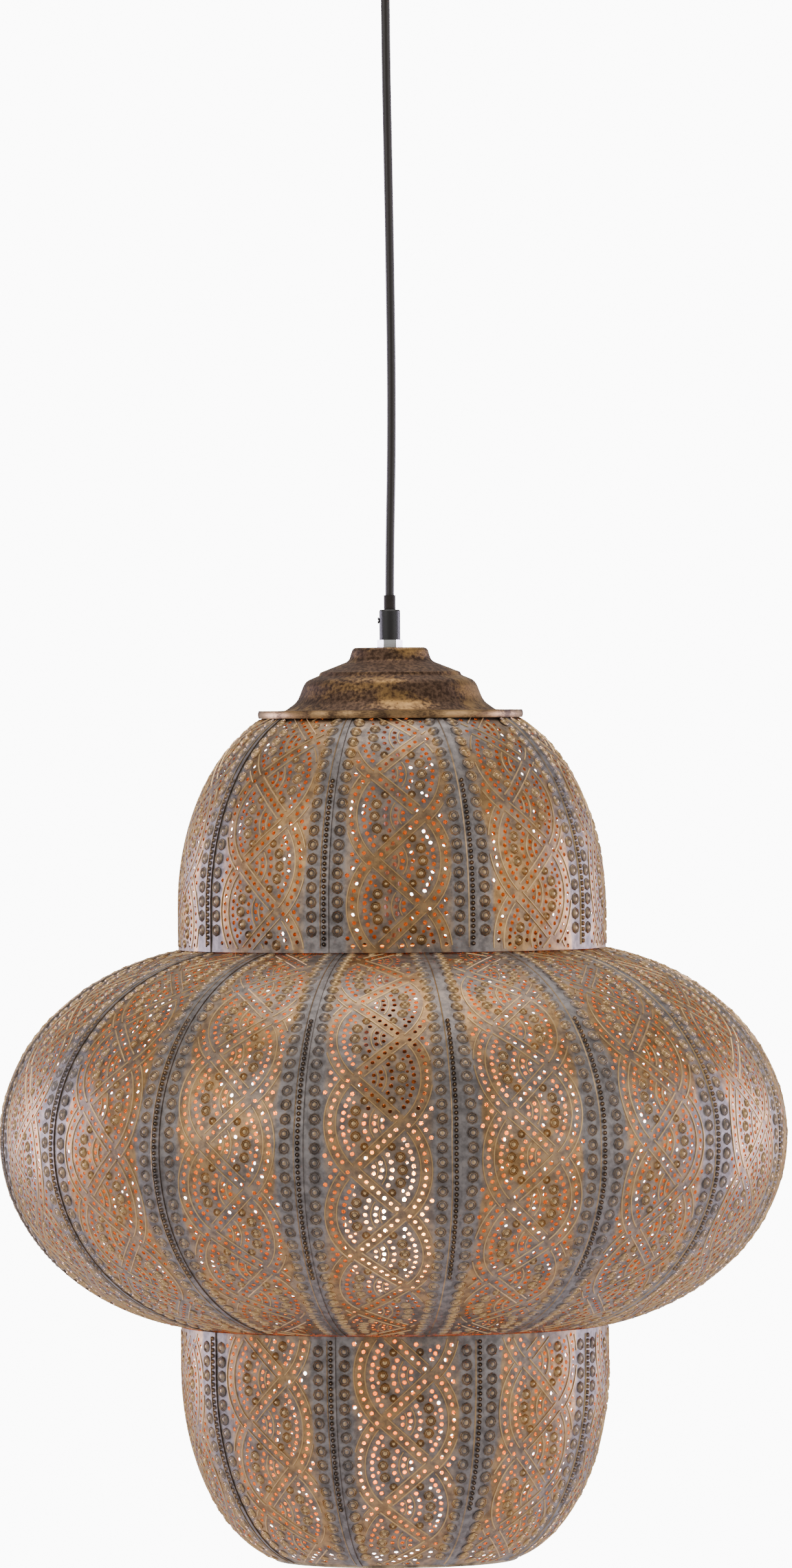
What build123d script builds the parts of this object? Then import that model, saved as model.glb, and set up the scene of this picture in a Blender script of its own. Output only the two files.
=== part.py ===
# Pierced brass-look hanging lantern: ceiling fitting, pendant cord, spun cap, and a hollow body of three
# stacked sections, each made of stamped strips (gores) that lap one another along their right-hand edges.
# The origin is the centre of the ceiling fitting where it meets the ceiling; everything hangs below, at -Z.
from build123d import *
import math
import os

os.makedirs("parts", exist_ok=True)

# ---------------------------------------------------------------- driving dimensions, in millimetres
SHEET = 0.6  # stamped sheet, measured through its embossing as one wall
LAP_GAP = 0.05  # air between two lapped sheets
LAP_WIDTH = 5.0  # how far a strip's right-hand edge runs over its neighbour
JOG_WIDTH = 0.8  # the cranked stretch that lifts the lap
STRIP_GAP = 0.05  # between two strips' butted walls

CEILING_TO_CAP = 473.8  # ceiling down to the top of the cap

DOME_COUNT, BELLY_COUNT, DRUM_COUNT = 9, 16, 9
WAIST_RADIUS = 135.7  # dome wall and drum wall
EQUATOR_RADIUS = 249.7

NECK_EDGE = 78.0  # radius of the dome's top edge, under the cap's flange
RIM_EDGE = 78.0  # radius of the open bottom
BELLY_EDGE = 131.0  # radius of the belly's two round edges

EQUATOR_Z = -784.3
BELLY_CENTRE = 102.7  # the belly's outline is an ellipse about this radius
BELLY_REACH = EQUATOR_RADIUS - BELLY_CENTRE
BELLY_RISE = 121.8

DOME_SHOULDER_Z = -637.9  # above this the dome's straight wall turns in
DOME_CENTRE, DOME_RISE = 48.7, 128.8
DOME_REACH = WAIST_RADIUS - DOME_CENTRE

DRUM_SHOULDER_Z = -929.9  # below this the drum's straight wall turns in
DRUM_CENTRE, DRUM_RISE = 61.7, 124.4
DRUM_REACH = WAIST_RADIUS - DRUM_CENTRE

WIRE_RADIUS = 2.0  # hoops of round wire that the strips are soldered to

CORD_RADIUS = 2.85
THREAD_RADIUS = 5.0  # M10 x 1 lamp thread
THREAD_BORE = 5.05
TUBE_BORE = 3.5
NUT_ACROSS_FLATS = 14.0
NUT_HEIGHT = 4.9


# ---------------------------------------------------------------- helpers
def meridian(angle):
    """A plane through the Z axis whose local X points out at this angle and local Y is +Z."""
    turn = math.radians(angle)
    return Plane(
        origin=(0, 0, 0),
        x_dir=(math.cos(turn), math.sin(turn), 0),
        z_dir=(math.sin(turn), -math.cos(turn), 0),
    )


def ellipse_angle(radius, centre, reach):
    """The ellipse parameter, in degrees, at which the outline stands at this radius."""
    return math.degrees(math.acos((radius - centre) / reach))


def belly_height(radius):
    """Height of the belly's outer face above the equator's plane at this radius."""
    return BELLY_RISE * math.sin(math.radians(ellipse_angle(radius, BELLY_CENTRE, BELLY_REACH)))


JOINT_CLEARANCE = SHEET + 0.15  # room for the laps where one section stands on another
UPPER_JOINT_Z = EQUATOR_Z + belly_height(WAIST_RADIUS - SHEET) + JOINT_CLEARANCE
LOWER_JOINT_Z = EQUATOR_Z - belly_height(WAIST_RADIUS - SHEET) - JOINT_CLEARANCE


def belly_line(offset):
    """Half of the belly's wall outline, from the lower edge to the upper one, moved out by offset."""
    end = ellipse_angle(BELLY_EDGE, BELLY_CENTRE, BELLY_REACH + offset)
    reach, rise = BELLY_REACH + offset, BELLY_RISE + offset
    return [EllipticalCenterArc((BELLY_CENTRE, EQUATOR_Z), reach, rise, -end, arc_size=2 * end)]


def dome_line(offset):
    """The dome's wall outline, from its foot up to the neck."""
    end = ellipse_angle(NECK_EDGE, DOME_CENTRE, DOME_REACH + offset)
    radius = WAIST_RADIUS + offset
    return [
        Line((radius, UPPER_JOINT_Z), (radius, DOME_SHOULDER_Z)),
        EllipticalCenterArc(
            (DOME_CENTRE, DOME_SHOULDER_Z), DOME_REACH + offset, DOME_RISE + offset, 0, arc_size=end
        ),
    ]


def drum_line(offset):
    """The drum's wall outline, from the open rim up to its top edge."""
    end = ellipse_angle(RIM_EDGE, DRUM_CENTRE, DRUM_REACH + offset)
    radius = WAIST_RADIUS + offset
    return [
        EllipticalCenterArc(
            (DRUM_CENTRE, DRUM_SHOULDER_Z), DRUM_REACH + offset, DRUM_RISE + offset, -end, arc_size=end
        ),
        Line((radius, DRUM_SHOULDER_Z), (radius, LOWER_JOINT_Z)),
    ]


def wall(outline, start, arc, inner, outer):
    """The wall between an outline moved by inner and by outer, from the start angle over an arc."""
    with BuildPart() as swept:
        with BuildSketch(meridian(start)):
            with BuildLine():
                outside = outline(outer)
                inside = outline(inner)
                Line(outside[0] @ 0, inside[0] @ 0)
                Line(outside[-1] @ 1, inside[-1] @ 1)
            make_face()
        revolve(axis=Axis.Z, revolution_arc=arc)
    return swept.part


def strip(outline, start, pitch, radius):
    """One stamped strip: its wall over one pitch, cranked out at the far edge to lap the next."""
    gap, jog, lap = (math.degrees(width / radius) for width in (STRIP_GAP, JOG_WIDTH, LAP_WIDTH))
    end = start + pitch - gap
    lifted = LAP_GAP + SHEET
    with BuildPart() as made:
        add(wall(outline, start, pitch - gap, -SHEET, 0))
        add(wall(outline, end - jog, jog, -SHEET, lifted))
        add(wall(outline, end - jog, jog + gap + lap, LAP_GAP, lifted))
    return made.part


def wire_hoop(radius, height):
    """A closed ring of round wire."""
    with BuildPart() as hoop:
        with BuildSketch(Plane.XZ):
            with Locations((radius, height)):
                Circle(WIRE_RADIUS)
        revolve(axis=Axis.Z)
    return hoop.part


def export_group(name, pieces):
    """Writes like pieces, each its own solid, as one node."""
    group = Compound(children=pieces)
    group.label = name
    export_step(group, f"parts/{name}.step")


def hex_nut(bottom, height):
    """A chamfered M10 x 1 lamp nut standing on the plane at bottom."""
    with BuildPart() as nut:
        with BuildSketch(Plane.XY.offset(bottom)):
            RegularPolygon(NUT_ACROSS_FLATS / 2, 6, major_radius=False)
            Circle(THREAD_BORE, mode=Mode.SUBTRACT)
        extrude(amount=height)
    return nut.part


def turned(name, points):
    """A solid of revolution about Z from an outline of straight stretches, given as (radius, z)."""
    with BuildPart() as piece:
        with BuildSketch(Plane.XZ):
            with BuildLine():
                Polyline(*points, close=True)
            make_face()
        revolve(axis=Axis.Z)
    piece.part.label = name
    export_step(piece.part, f"parts/{name}.step")


# ---------------------------------------------------------------- ceiling fitting
BAR_WIDTH, BAR_SHEET, BAR_DROP = 18.0, 2.0, 12.0
BAR_HALF_LENGTH, BAR_BRIDGE_HALF = 43.0, 24.0
CEILING_HOLE_SPACING, CEILING_HOLE_RADIUS = 70.0, 2.25
CUP_RADIUS, CUP_DEPTH, CUP_SHEET = 50.0, 30.0, 0.9
CUP_CORNER = 14.0
GRIP_RADIUS, GRIP_LENGTH, GRIP_CORD_BORE = 6.7, 19.2, 3.05

# Strap of flat steel: two feet against the ceiling and a bridge set down below them.
with BuildPart() as ceiling_bar:
    with BuildSketch(Plane.XZ.offset(-BAR_WIDTH / 2)):
        with BuildLine():
            Polyline(
                (-BAR_HALF_LENGTH, 0),
                (-BAR_BRIDGE_HALF, 0),
                (-BAR_BRIDGE_HALF + BAR_SHEET, -BAR_DROP + BAR_SHEET),
                (BAR_BRIDGE_HALF - BAR_SHEET, -BAR_DROP + BAR_SHEET),
                (BAR_BRIDGE_HALF, 0),
                (BAR_HALF_LENGTH, 0),
                (BAR_HALF_LENGTH, -BAR_SHEET),
                (BAR_BRIDGE_HALF + BAR_SHEET, -BAR_SHEET),
                (BAR_BRIDGE_HALF, -BAR_DROP),
                (-BAR_BRIDGE_HALF, -BAR_DROP),
                (-BAR_BRIDGE_HALF - BAR_SHEET, -BAR_SHEET),
                (-BAR_HALF_LENGTH, -BAR_SHEET),
                close=True,
            )
        make_face()
    extrude(amount=BAR_WIDTH)
    with Locations((CEILING_HOLE_SPACING / 2, 0, 0), (-CEILING_HOLE_SPACING / 2, 0, 0)):
        Hole(CEILING_HOLE_RADIUS, depth=3 * BAR_SHEET)
    with Locations((0, 0, 0)):
        Hole(THREAD_BORE, depth=2 * BAR_DROP)
ceiling_bar.part.label = "ceiling_bar"
export_step(ceiling_bar.part, "parts/ceiling_bar.step")

# Drawn steel cup that hides the wiring, with its rim against the ceiling.
with BuildPart() as ceiling_cup:
    with BuildSketch(Plane.XZ):
        with BuildLine():
            outer = FilletPolyline(
                (CUP_RADIUS, 0), (CUP_RADIUS, -CUP_DEPTH), (THREAD_BORE, -CUP_DEPTH), radius=CUP_CORNER
            )
            inner = FilletPolyline(
                (CUP_RADIUS - CUP_SHEET, 0),
                (CUP_RADIUS - CUP_SHEET, -CUP_DEPTH + CUP_SHEET),
                (THREAD_BORE, -CUP_DEPTH + CUP_SHEET),
                radius=CUP_CORNER - CUP_SHEET,
            )
            Line(outer @ 0, inner @ 0)
            Line(outer @ 1, inner @ 1)
        make_face()
    revolve(axis=Axis.Z)
ceiling_cup.part.label = "ceiling_cup"
export_step(ceiling_cup.part, "parts/ceiling_cup.step")

# Hollow threaded nipple from the bar's bridge down through the cup into the upper grip.
NIPPLE_TOP, NIPPLE_BOTTOM = -3.5, -CUP_DEPTH - 8.0
with BuildPart() as cup_nipple:
    with BuildSketch(Plane.XY.offset(NIPPLE_BOTTOM)):
        Circle(THREAD_RADIUS)
        Circle(TUBE_BORE, mode=Mode.SUBTRACT)
    extrude(amount=NIPPLE_TOP - NIPPLE_BOTTOM)
cup_nipple.part.label = "cup_nipple"
export_step(cup_nipple.part, "parts/cup_nipple.step")

# One nut above the bridge and one below it.
SMALL_NUT = 3.0
export_group(
    "cup_nuts",
    [hex_nut(-BAR_DROP + BAR_SHEET, SMALL_NUT), hex_nut(-BAR_DROP - SMALL_NUT, SMALL_NUT)],
)


# ---------------------------------------------------------------- cord grips, sleeves and cord
SLEEVE_RADIUS, SLEEVE_LENGTH = 3.75, 9.2
GRIP_SHOULDER = 9.5  # solid nose between the thread's end and the cord's mouth
SCREW_RADIUS, SCREW_HEAD, SCREW_PROUD, SCREW_SLOT = 1.5, 2.0, 1.0, 0.5
POCKET_DEPTH = 2.2  # depth of the pocket that the upper sleeve rocks in


def grip_body(face, direction):
    """Moulded grip whose threaded end rests on the plane at face; direction is +1 up, -1 down."""
    mouth = face + direction * GRIP_LENGTH
    with BuildPart() as grip:
        with BuildSketch(Plane.XY.offset(face)):
            Circle(GRIP_RADIUS)
        extrude(amount=direction * GRIP_LENGTH)
        chamfer(grip.edges().group_by(Axis.Z)[-1 if direction > 0 else 0], 0.8)
        with BuildSketch(Plane.XY.offset(face)):
            Circle(THREAD_BORE)
        extrude(amount=direction * (GRIP_LENGTH - GRIP_SHOULDER), mode=Mode.SUBTRACT)
        with BuildSketch(Plane.XY.offset(mouth)):
            Circle(GRIP_CORD_BORE)
        extrude(amount=-direction * GRIP_SHOULDER, mode=Mode.SUBTRACT)
    return grip.part


# Upper grip, hanging from the cup on the nipple, with a pocket for the sleeve that rocks in its mouth.
UPPER_FACE = -CUP_DEPTH
UPPER_MOUTH = UPPER_FACE - GRIP_LENGTH
SIDE_PIVOT_Z = UPPER_MOUTH + 0.3
POCKET_RADIUS = SLEEVE_RADIUS + 1.0
with BuildPart() as cup_grip:
    add(grip_body(UPPER_FACE, -1))
    with BuildSketch(Plane.XY.offset(UPPER_MOUTH)):
        Circle(POCKET_RADIUS)
    extrude(amount=POCKET_DEPTH, mode=Mode.SUBTRACT)
cup_grip.part.label = "cup_grip"
export_step(cup_grip.part, "parts/cup_grip.step")

# Soft upper sleeve: rocks side to side in the grip's mouth, and the cord rocks fore and aft in its own mouth.
SLEEVE_TOP = UPPER_MOUTH + 1.0
SLEEVE_MOUTH = SLEEVE_TOP - SLEEVE_LENGTH
CORD_POCKET_RADIUS, CORD_POCKET_DEPTH = 3.35, 2.6
with BuildPart() as upper_sleeve:
    with BuildSketch(Plane.XY.offset(SLEEVE_MOUTH)):
        Circle(SLEEVE_RADIUS)
    extrude(amount=SLEEVE_LENGTH)
    fillet(upper_sleeve.edges().group_by(Axis.Z)[-1], 0.7)
    with BuildSketch(Plane.XY.offset(SLEEVE_MOUTH)):
        Circle(CORD_POCKET_RADIUS)
    extrude(amount=CORD_POCKET_DEPTH, mode=Mode.SUBTRACT)
upper_sleeve.part.label = "upper_sleeve"
export_step(upper_sleeve.part, "parts/upper_sleeve.step")
FORE_PIVOT_Z = SLEEVE_MOUTH

# Lower grip on the lantern, standing on the cap's outer nut.
CAP_TOP = -CEILING_TO_CAP
LOWER_FACE = CAP_TOP + NUT_HEIGHT
LOWER_MOUTH = LOWER_FACE + GRIP_LENGTH
SCREW_Z = LOWER_FACE + 0.64 * GRIP_LENGTH
with BuildPart() as cord_grip:
    add(grip_body(LOWER_FACE, 1))
    with BuildSketch(Plane.YZ.offset(-GRIP_CORD_BORE + 1)):
        with Locations((0, SCREW_Z)):
            Circle(SCREW_RADIUS + 0.02)
    extrude(amount=-GRIP_RADIUS, mode=Mode.SUBTRACT)
cord_grip.part.label = "cord_grip"
export_step(cord_grip.part, "parts/cord_grip.step")

# Slotted clamping screw, driven into the grip's left side against the cord.
SCREW_FACE = -GRIP_RADIUS - SCREW_PROUD
with BuildPart() as grip_screw:
    with BuildSketch(Plane.YZ.offset(SCREW_FACE)):
        with Locations((0, SCREW_Z)):
            Circle(SCREW_RADIUS)
    extrude(amount=-GRIP_CORD_BORE - SCREW_FACE)
    with BuildSketch(Plane.YZ.offset(SCREW_FACE)):
        with Locations((0, SCREW_Z)):
            Circle(SCREW_HEAD)
    extrude(amount=SCREW_PROUD - 0.1)
    with BuildSketch(Plane.YZ.offset(SCREW_FACE)):
        with Locations((0, SCREW_Z)):
            Rectangle(2 * SCREW_HEAD, SCREW_SLOT)
    extrude(amount=SCREW_SLOT, mode=Mode.SUBTRACT)
grip_screw.part.label = "grip_screw"
export_step(grip_screw.part, "parts/grip_screw.step")

# Lower sleeve around the cord above the grip.
with BuildPart() as cord_sleeve:
    with BuildSketch(Plane.XY.offset(LOWER_MOUTH)):
        Circle(SLEEVE_RADIUS)
        Circle(GRIP_CORD_BORE, mode=Mode.SUBTRACT)
    extrude(amount=SLEEVE_LENGTH)
cord_sleeve.part.label = "cord_sleeve"
export_step(cord_sleeve.part, "parts/cord_sleeve.step")

# The cord hangs straight, pulled tight by the lantern, from the upper sleeve's pocket to the grip's shoulder.
CORD_TOP = FORE_PIVOT_Z + 1.2
CORD_BOTTOM = LOWER_MOUTH - GRIP_SHOULDER
with BuildPart() as pendant_cord:
    with BuildSketch(Plane.XY.offset(CORD_BOTTOM)):
        Circle(CORD_RADIUS)
    extrude(amount=CORD_TOP - CORD_BOTTOM)
pendant_cord.part.label = "pendant_cord"
export_step(pendant_cord.part, "parts/pendant_cord.step")


# ---------------------------------------------------------------- stem, nuts and spun cap
HOLDER_TOP = -698.3
STEM_TOP = CORD_BOTTOM - 0.6
STEM_BOTTOM = HOLDER_TOP - 8.0

# Threaded tube that carries the lampholder, all the way from the grip down through the cap.
with BuildPart() as stem_tube:
    with BuildSketch(Plane.XY.offset(STEM_BOTTOM)):
        Circle(THREAD_RADIUS)
        Circle(TUBE_BORE, mode=Mode.SUBTRACT)
    extrude(amount=STEM_TOP - STEM_BOTTOM)
stem_tube.part.label = "stem_tube"
export_step(stem_tube.part, "parts/stem_tube.step")

# Spun cap: a flat top, a flared shoulder, a bowl-shaped skirt and a flat flange. Every face looks up or out,
# so moving the outline in and down by CAP_SHEET gives a wall of even thickness.
CAP_SHEET = 0.7
CAP_FLANGE_RADIUS = 82.6
cap_points = [
    (THREAD_BORE, 0),
    (23.6, 0),
    (26.2, -8.4),
    (44.4, -15.6),
    (45.4, -17.6),
    (54.0, -21.2),
    (59.2, -34.2),
    (66.8, -39.6),
    (CAP_FLANGE_RADIUS, -40.2),
]
cap_radii = [3.0, 5.0, 0.8, 0.8, 8.0, 12.0, 4.0]
with BuildPart() as cap:
    with BuildSketch(Plane.XZ):
        with BuildLine():
            outer = FilletPolyline(*[(r, CAP_TOP + z) for r, z in cap_points], radius=cap_radii)
            lower = [(r - CAP_SHEET, CAP_TOP + z - CAP_SHEET) for r, z in cap_points]
            lower[0] = (THREAD_BORE, CAP_TOP - CAP_SHEET)
            lower[-1] = (CAP_FLANGE_RADIUS, lower[-1][1])
            inner = FilletPolyline(*lower, radius=cap_radii)
            Line(outer @ 0, inner @ 0)
            Line(outer @ 1, inner @ 1)
        make_face()
    revolve(axis=Axis.Z)
cap.part.label = "cap"
export_step(cap.part, "parts/cap.step")

# Half-round band soldered round the flange; it rests on the dome's strips.
BAND_TOP, BAND_BOTTOM = CAP_TOP - 39.8, CAP_TOP - 44.7
BAND_INNER, BAND_OUTER = CAP_FLANGE_RADIUS + 0.05, 84.3
with BuildPart() as cap_band:
    with BuildSketch(Plane.XZ):
        with BuildLine():
            Polyline(
                (BAND_OUTER - 0.6, BAND_TOP),
                (BAND_INNER, BAND_TOP),
                (BAND_INNER, BAND_BOTTOM),
                (BAND_OUTER - 0.6, BAND_BOTTOM),
            )
            ThreePointArc(
                (BAND_OUTER - 0.6, BAND_BOTTOM),
                (BAND_OUTER, (BAND_TOP + BAND_BOTTOM) / 2),
                (BAND_OUTER - 0.6, BAND_TOP),
            )
        make_face()
    revolve(axis=Axis.Z)
cap_band.part.label = "cap_band"
export_step(cap_band.part, "parts/cap_band.step")

# Washer that spreads the inner nut's pull over the cap's thin top.
WASHER_SHEET = 1.2
with BuildPart() as inner_washer:
    with BuildSketch(Plane.XY.offset(CAP_TOP - CAP_SHEET - WASHER_SHEET)):
        Circle(11.0)
        Circle(THREAD_BORE, mode=Mode.SUBTRACT)
    extrude(amount=WASHER_SHEET)
inner_washer.part.label = "inner_washer"
export_step(inner_washer.part, "parts/inner_washer.step")

# Two like nuts on the tube: the outer one under the grip and the inner one under the washer.
export_group(
    "cap_nuts",
    [
        hex_nut(CAP_TOP, NUT_HEIGHT),
        hex_nut(CAP_TOP - CAP_SHEET - WASHER_SHEET - NUT_HEIGHT, NUT_HEIGHT),
    ],
)


# ---------------------------------------------------------------- lampholder (E27)
HOLDER_RADIUS, HOLDER_WALL = 21.2, 1.8
HOLDER_SPLIT = HOLDER_TOP - 29.0
HOLDER_BOTTOM = HOLDER_TOP - 70.4
CORE_TOP, CORE_BOTTOM = HOLDER_TOP - 13.2, HOLDER_TOP - 45.4
CORE_RADIUS, FLANGE_RADIUS = 15.6, 19.3
SHELL_RADIUS, SHELL_SHEET = 13.6, 0.4

# Upper half, screwed on the stem: threaded neck, cone and straight wall.
turned(
    "holder_cap",
    [
        (THREAD_BORE, HOLDER_TOP),
        (9.0, HOLDER_TOP),
        (9.0, HOLDER_TOP - 7.0),
        (HOLDER_RADIUS - 2.2, HOLDER_TOP - 14.0),
        (HOLDER_RADIUS - 1.0, HOLDER_SPLIT),
        (HOLDER_RADIUS - 1.0 - HOLDER_WALL, HOLDER_SPLIT),
        (HOLDER_RADIUS - 2.2 - HOLDER_WALL, HOLDER_TOP - 15.4),
        (8.0, HOLDER_TOP - 10.0),
        (THREAD_BORE, HOLDER_TOP - 10.0),
    ],
)

# Lower half, screwed to the upper one: a slightly wider skirt with a rolled foot.
turned(
    "holder_skirt",
    [
        (HOLDER_RADIUS, HOLDER_SPLIT - 0.1),
        (HOLDER_RADIUS, HOLDER_BOTTOM + 4.0),
        (HOLDER_RADIUS - 1.5, HOLDER_BOTTOM),
        (SHELL_RADIUS + 2.0, HOLDER_BOTTOM),
        (SHELL_RADIUS + 2.0, HOLDER_BOTTOM + 1.6),
        (HOLDER_RADIUS - HOLDER_WALL, HOLDER_BOTTOM + 5.0),
        (HOLDER_RADIUS - HOLDER_WALL, HOLDER_SPLIT - 0.1),
    ],
)

# Ceramic insert whose flange is nipped between the two halves.
turned(
    "holder_core",
    [
        (3.4, CORE_TOP),
        (CORE_RADIUS, CORE_TOP - 3.0),
        (CORE_RADIUS, HOLDER_SPLIT - 0.2),
        (FLANGE_RADIUS, HOLDER_SPLIT - 0.2),
        (FLANGE_RADIUS, HOLDER_SPLIT - 3.2),
        (CORE_RADIUS, HOLDER_SPLIT - 3.2),
        (CORE_RADIUS, CORE_BOTTOM),
        (3.4, CORE_BOTTOM),
    ],
)

# Brass shell that the bulb's base screws into.
turned(
    "holder_shell",
    [
        (SHELL_RADIUS, CORE_BOTTOM - 0.05),
        (SHELL_RADIUS + SHELL_SHEET, CORE_BOTTOM - 0.05),
        (SHELL_RADIUS + SHELL_SHEET, HOLDER_BOTTOM + 2.5),
        (SHELL_RADIUS, HOLDER_BOTTOM + 2.5),
    ],
)

# Sprung centre tongue with its rivet through the ceramic.
with BuildPart() as holder_contact:
    with Locations((0, 0, CORE_BOTTOM - 0.6)):
        Box(13.0, 4.0, 0.6, align=(Align.CENTER, Align.CENTER, Align.MIN))
    with BuildSketch(Plane.XY.offset(CORE_BOTTOM)):
        Circle(1.6)
    extrude(amount=8.0)
holder_contact.part.label = "holder_contact"
export_step(holder_contact.part, "parts/holder_contact.step")


# ---------------------------------------------------------------- bulb (E27, pear-shaped, long filaments)
BASE_RADIUS = 13.2
BASE_BOTTOM = HOLDER_BOTTOM - 2.2
BASE_TOP = BASE_BOTTOM + 22.0
TIP_TOP = BASE_TOP + 4.2
GLASS_WALL = 0.8
GLASS_BOTTOM = BASE_BOTTOM - 113.0
GLASS_RADIUS = 31.5

turned(
    "bulb_base",
    [
        (BASE_RADIUS, BASE_BOTTOM),
        (BASE_RADIUS, BASE_TOP),
        (BASE_RADIUS - 1.6, BASE_TOP + 0.8),
        (BASE_RADIUS - 2.0, BASE_TOP + 0.8),
        (BASE_RADIUS - 0.5, BASE_TOP - 0.4),
        (BASE_RADIUS - 0.5, BASE_BOTTOM),
    ],
)

# Black glass insulator with the solder tip on it.
turned(
    "bulb_tip",
    [
        (0, BASE_TOP + 0.2),
        (10.8, BASE_TOP + 0.2),
        (10.4, BASE_TOP + 1.0),
        (5.2, TIP_TOP - 1.2),
        (4.4, TIP_TOP - 0.2),
        (0, TIP_TOP),
    ],
)

# Clear pear-shaped glass, blown thin, cemented into the base by its straight neck.
NECK_RADIUS, NECK_DEPTH = 12.4, 8.0
SHOULDER_TOP, SHOULDER_BOTTOM = BASE_BOTTOM - 15.0, GLASS_BOTTOM + 53.0
SHOULDER_CURVE, END_CURVE = 60.0, 31.0
with BuildPart() as bulb_glass:
    for inset, mode in ((0, Mode.ADD), (GLASS_WALL, Mode.SUBTRACT)):
        with BuildSketch(Plane.XZ):
            with BuildLine():
                side = FilletPolyline(
                    (NECK_RADIUS - inset, BASE_BOTTOM + NECK_DEPTH),
                    (NECK_RADIUS - inset, SHOULDER_TOP),
                    (GLASS_RADIUS - inset, SHOULDER_BOTTOM),
                    (GLASS_RADIUS - inset, GLASS_BOTTOM + inset),
                    (0, GLASS_BOTTOM + inset),
                    radius=[SHOULDER_CURVE, SHOULDER_CURVE, END_CURVE - inset],
                )
                Polyline(side @ 1, (0, BASE_BOTTOM + NECK_DEPTH), side @ 0)
            make_face()
        revolve(axis=Axis.Z, mode=mode)
bulb_glass.part.label = "bulb_glass"
export_step(bulb_glass.part, "parts/bulb_glass.step")

# Four straight filaments between two crossed spiders, on the wire that comes down from the neck.
FOOT_BOTTOM = BASE_BOTTOM - 38.0
FILAMENT_RADIUS, FILAMENT_LENGTH = 0.9, 62.0
FILAMENT_CIRCLE = 9.0
FILAMENT_TOP = FOOT_BOTTOM - 4.0
with BuildPart() as bulb_filaments:
    with BuildSketch(Plane.XY.offset(FILAMENT_TOP - FILAMENT_LENGTH)):
        with PolarLocations(FILAMENT_CIRCLE, 4, start_angle=45):
            Circle(FILAMENT_RADIUS)
    extrude(amount=FILAMENT_LENGTH)
    for level in (FILAMENT_TOP, FILAMENT_TOP - FILAMENT_LENGTH):
        with BuildSketch(Plane.XY.offset(level - 0.35)):
            with PolarLocations(0, 4, start_angle=45):
                Rectangle(2 * FILAMENT_CIRCLE, 0.7)
        extrude(amount=0.7)
    with BuildSketch(Plane.XY.offset(FILAMENT_TOP)):
        Circle(0.5)
    extrude(amount=BASE_BOTTOM - FILAMENT_TOP)
bulb_filaments.part.label = "bulb_filaments"
export_step(bulb_filaments.part, "parts/bulb_filaments.step")


# ---------------------------------------------------------------- body: hoops and stamped strips
neck_angle = math.radians(ellipse_angle(NECK_EDGE, DOME_CENTRE, DOME_REACH))
rim_angle = math.radians(ellipse_angle(RIM_EDGE, DRUM_CENTRE, DRUM_REACH))
NECK_Z = DOME_SHOULDER_Z + DOME_RISE * math.sin(neck_angle)
RIM_Z = DRUM_SHOULDER_Z - DRUM_RISE * math.sin(rim_angle)
BELLY_EDGE_RISE = belly_height(BELLY_EDGE) - SHEET / 2
WIRE_GAP = 0.05
NECK_HOOP_DROP = 1.0

export_group(
    "waist_hoops",
    [
        wire_hoop(BELLY_EDGE - WIRE_RADIUS - WIRE_GAP, EQUATOR_Z + BELLY_EDGE_RISE),
        wire_hoop(BELLY_EDGE - WIRE_RADIUS - WIRE_GAP, EQUATOR_Z - BELLY_EDGE_RISE),
    ],
)
export_group(
    "end_hoops",
    [
        wire_hoop(NECK_EDGE - WIRE_RADIUS - WIRE_GAP, NECK_Z - NECK_HOOP_DROP),
        wire_hoop(RIM_EDGE - WIRE_RADIUS - WIRE_GAP, RIM_Z + SHEET / 2),
    ],
)

# A seam faces a little left of the front on each section, as hand-set strips do.
DOME_START, BELLY_START, DRUM_START = -109.0, -104.0, -108.0

dome_pitch = 360 / DOME_COUNT
for number in range(DOME_COUNT):
    gore = strip(dome_line, DOME_START + number * dome_pitch, dome_pitch, WAIST_RADIUS)
    gore.label = f"dome_strip_{number + 1}"
    export_step(gore, f"parts/{gore.label}.step")

belly_pitch = 360 / BELLY_COUNT
for number in range(BELLY_COUNT):
    gore = strip(belly_line, BELLY_START + number * belly_pitch, belly_pitch, EQUATOR_RADIUS)
    gore.label = f"belly_strip_{number + 1:02d}"
    export_step(gore, f"parts/{gore.label}.step")

drum_pitch = 360 / DRUM_COUNT
for number in range(DRUM_COUNT):
    gore = strip(drum_line, DRUM_START + number * drum_pitch, drum_pitch, WAIST_RADIUS)
    gore.label = f"drum_strip_{number + 1}"
    export_step(gore, f"parts/{gore.label}.step")

print("pivots", SIDE_PIVOT_Z, FORE_PIVOT_Z, "cord", CORD_TOP, CORD_BOTTOM)
print("joints", UPPER_JOINT_Z, LOWER_JOINT_Z, "neck", NECK_Z, "rim", RIM_Z)
print("holder", HOLDER_TOP, HOLDER_BOTTOM, "base", BASE_BOTTOM, "glass", GLASS_BOTTOM)
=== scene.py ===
import math

import bmesh
import bpy
from mathutils import Matrix, Vector


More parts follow.
